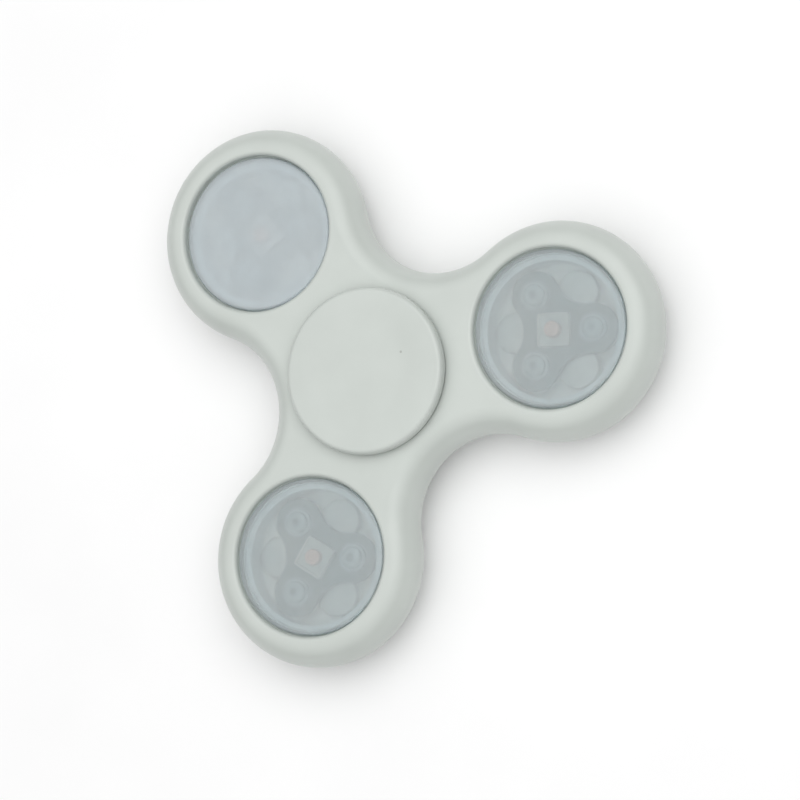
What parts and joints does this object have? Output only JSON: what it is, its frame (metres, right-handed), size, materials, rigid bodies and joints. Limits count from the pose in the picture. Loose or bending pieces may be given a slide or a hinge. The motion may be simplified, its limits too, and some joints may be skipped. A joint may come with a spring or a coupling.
{
  "type": "fidget spinner",
  "caption": "White plastic tri-lobed fidget spinner: a ball bearing with dished finger caps in the middle and a round frosted push light in the end of each arm.",
  "frame": {"origin": "middle of the ball bearing, on the spin axis, half way through the thickness", "axes": "+Z along the spin axis towards the front, the side whose lights are pressed; +X along the arm of light_2; the arms of light_1 and light_3 are 120 degrees round from it"},
  "size_m": [0.0693, 0.0754, 0.012],
  "materials": {
    "white_abs": "gloss",
    "bearing_steel": "ground",
    "bearing_balls": "polished",
    "cage_steel": "pressed",
    "frosted_cover": "frosted",
    "frosted_shell": "frosted",
    "natural_nylon": "moulded",
    "nickel_strip": "plated",
    "cell_steel": "satin",
    "board_mask": "solder mask",
    "led_epoxy": "clear",
    "switch_plastic": "moulded",
    "button_plastic": "moulded",
    "chip_epoxy": "moulded"
  },
  "bodies": {
    "hub": {"front_cap": "white_abs", "rear_cap": "white_abs", "bearing_inner_race": "bearing_steel"},
    "rotor": {"frame": "white_abs", "bearing_outer_race": "bearing_steel", "bearing_front_shield": "bearing_steel", "bearing_rear_shield": "bearing_steel", "light_1_rear_shell": "frosted_shell", "light_1_cell_tray": "natural_nylon", "light_1_contact_plate": "nickel_strip", "light_1_cell_1": "cell_steel", "light_1_cell_2": "cell_steel", "light_1_cell_3": "cell_steel", "light_1_circuit_board": "board_mask", "light_1_led_1": "led_epoxy", "light_1_led_2": "led_epoxy", "light_1_led_3": "led_epoxy", "light_1_switch_body": "switch_plastic", "light_1_driver_chip": "chip_epoxy", "light_2_rear_shell": "frosted_shell", "light_2_cell_tray": "natural_nylon", "light_2_contact_plate": "nickel_strip", "light_2_cell_1": "cell_steel", "light_2_cell_2": "cell_steel", "light_2_cell_3": "cell_steel", "light_2_circuit_board": "board_mask", "light_2_led_1": "led_epoxy", "light_2_led_2": "led_epoxy", "light_2_led_3": "led_epoxy", "light_2_switch_body": "switch_plastic", "light_2_driver_chip": "chip_epoxy", "light_3_rear_shell": "frosted_shell", "light_3_cell_tray": "natural_nylon", "light_3_contact_plate": "nickel_strip", "light_3_cell_1": "cell_steel", "light_3_cell_2": "cell_steel", "light_3_cell_3": "cell_steel", "light_3_circuit_board": "board_mask", "light_3_led_1": "led_epoxy", "light_3_led_2": "led_epoxy", "light_3_led_3": "led_epoxy", "light_3_switch_body": "switch_plastic", "light_3_driver_chip": "chip_epoxy"},
    "cage": {"bearing_cage": "cage_steel"},
    "ball_1": {"bearing_ball_1": "bearing_balls"},
    "ball_2": {"bearing_ball_2": "bearing_balls"},
    "ball_3": {"bearing_ball_3": "bearing_balls"},
    "ball_4": {"bearing_ball_4": "bearing_balls"},
    "ball_5": {"bearing_ball_5": "bearing_balls"},
    "ball_6": {"bearing_ball_6": "bearing_balls"},
    "ball_7": {"bearing_ball_7": "bearing_balls"},
    "cover_1": {"light_1_lens": "frosted_cover", "light_1_switch_button": "button_plastic"},
    "cover_2": {"light_2_lens": "frosted_cover", "light_2_switch_button": "button_plastic"},
    "cover_3": {"light_3_lens": "frosted_cover", "light_3_switch_button": "button_plastic"}
  },
  "joints": [
    {"name": "frame_spin", "type": "hinge", "parent": "hub", "child": "rotor", "pos_m": [0, 0, 0], "axis": [0, 0, 1], "continuous": true},
    {"name": "cage_spin", "type": "hinge", "parent": "hub", "child": "cage", "pos_m": [0, 0, 0], "axis": [0, 0, 1], "continuous": true},
    {"name": "ball_1_roll", "type": "hinge", "parent": "cage", "child": "ball_1", "pos_m": [0.0075, 0, 0], "axis": [0, 0, 1], "continuous": true},
    {"name": "ball_2_roll", "type": "hinge", "parent": "cage", "child": "ball_2", "pos_m": [0.00468, 0.00586, 0], "axis": [0, 0, 1], "continuous": true},
    {"name": "ball_3_roll", "type": "hinge", "parent": "cage", "child": "ball_3", "pos_m": [-0.00167, 0.00731, 0], "axis": [0, 0, 1], "continuous": true},
    {"name": "ball_4_roll", "type": "hinge", "parent": "cage", "child": "ball_4", "pos_m": [-0.00676, 0.00325, 0], "axis": [0, 0, 1], "continuous": true},
    {"name": "ball_5_roll", "type": "hinge", "parent": "cage", "child": "ball_5", "pos_m": [-0.00676, -0.00325, 0], "axis": [0, 0, 1], "continuous": true},
    {"name": "ball_6_roll", "type": "hinge", "parent": "cage", "child": "ball_6", "pos_m": [-0.00167, -0.00731, 0], "axis": [0, 0, 1], "continuous": true},
    {"name": "ball_7_roll", "type": "hinge", "parent": "cage", "child": "ball_7", "pos_m": [0.00468, -0.00586, 0], "axis": [0, 0, 1], "continuous": true},
    {"name": "light_1_press", "type": "slide", "parent": "rotor", "child": "cover_1", "axis": [0, 0, -1], "range_m": [0, 0.00025], "stiffness_N_per_m": 6000},
    {"name": "light_2_press", "type": "slide", "parent": "rotor", "child": "cover_2", "axis": [0, 0, -1], "range_m": [0, 0.00025], "stiffness_N_per_m": 6000},
    {"name": "light_3_press", "type": "slide", "parent": "rotor", "child": "cover_3", "axis": [0, 0, -1], "range_m": [0, 0.00025], "stiffness_N_per_m": 6000}
  ],
  "couplings": [
    {"joint": "cage_spin", "follows": "frame_spin", "ratio": 0.6323},
    {"joint": "ball_1_roll", "follows": "frame_spin", "ratio": 1.7573},
    {"joint": "ball_2_roll", "follows": "frame_spin", "ratio": 1.7573},
    {"joint": "ball_3_roll", "follows": "frame_spin", "ratio": 1.7573},
    {"joint": "ball_4_roll", "follows": "frame_spin", "ratio": 1.7573},
    {"joint": "ball_5_roll", "follows": "frame_spin", "ratio": 1.7573},
    {"joint": "ball_6_roll", "follows": "frame_spin", "ratio": 1.7573},
    {"joint": "ball_7_roll", "follows": "frame_spin", "ratio": 1.7573}
  ]
}
